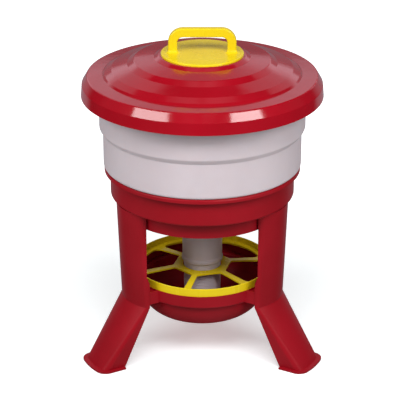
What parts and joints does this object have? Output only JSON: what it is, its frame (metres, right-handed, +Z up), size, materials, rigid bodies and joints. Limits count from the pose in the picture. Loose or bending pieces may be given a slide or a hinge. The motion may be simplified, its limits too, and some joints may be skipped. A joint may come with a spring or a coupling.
{
  "type": "gravity poultry feeder",
  "caption": "Free-standing poultry feeder: a lidded hopper on a collar and splayed legs drops feed through a threaded sleeve into a round pan under a spoked grill.",
  "frame": {"origin": "on the floor, straight below the hopper's axis", "axes": "+Z up along the hopper's axis; the front, between the two front legs, faces -Y; +X to the right seen from the front"},
  "size_m": [0.4354, 0.452, 0.6055],
  "materials": {
    "red_plastic": "glossy injection moulding",
    "white_plastic": "semi-gloss translucent moulding",
    "yellow_plastic": "glossy injection moulding",
    "steel": "zinc plated"
  },
  "bodies": {
    "stand": {"stand_frame": "red_plastic", "feed_pan": "red_plastic", "leg_front_left": "red_plastic", "leg_front_right": "red_plastic", "leg_rear": "red_plastic", "leg_screws": "steel"},
    "hopper_body": {"hopper": "white_plastic"},
    "sleeve": {"flow_sleeve": "white_plastic"},
    "grill_ring": {"grill": "yellow_plastic"},
    "lid_top": {"lid": "red_plastic", "lid_handle": "yellow_plastic", "handle_screws": "steel", "handle_washers": "steel"}
  },
  "joints": [
    {"name": "hopper_lift", "type": "slide", "parent": "stand", "child": "hopper_body", "axis": [0, 0, 1], "range_m": [0, 0.3]},
    {"name": "lid_lift", "type": "slide", "parent": "hopper_body", "child": "lid_top", "axis": [0, 0, 1], "range_m": [0, 0.15]},
    {"name": "sleeve_adjust", "type": "slide", "parent": "hopper_body", "child": "sleeve", "axis": [0, 0, 1], "range_m": [-0.018, 0.024]},
    {"name": "grill_turn", "type": "hinge", "parent": "stand", "child": "grill_ring", "pos_m": [0, 0, 0.148], "axis": [0, 0, 1], "continuous": true}
  ]
}
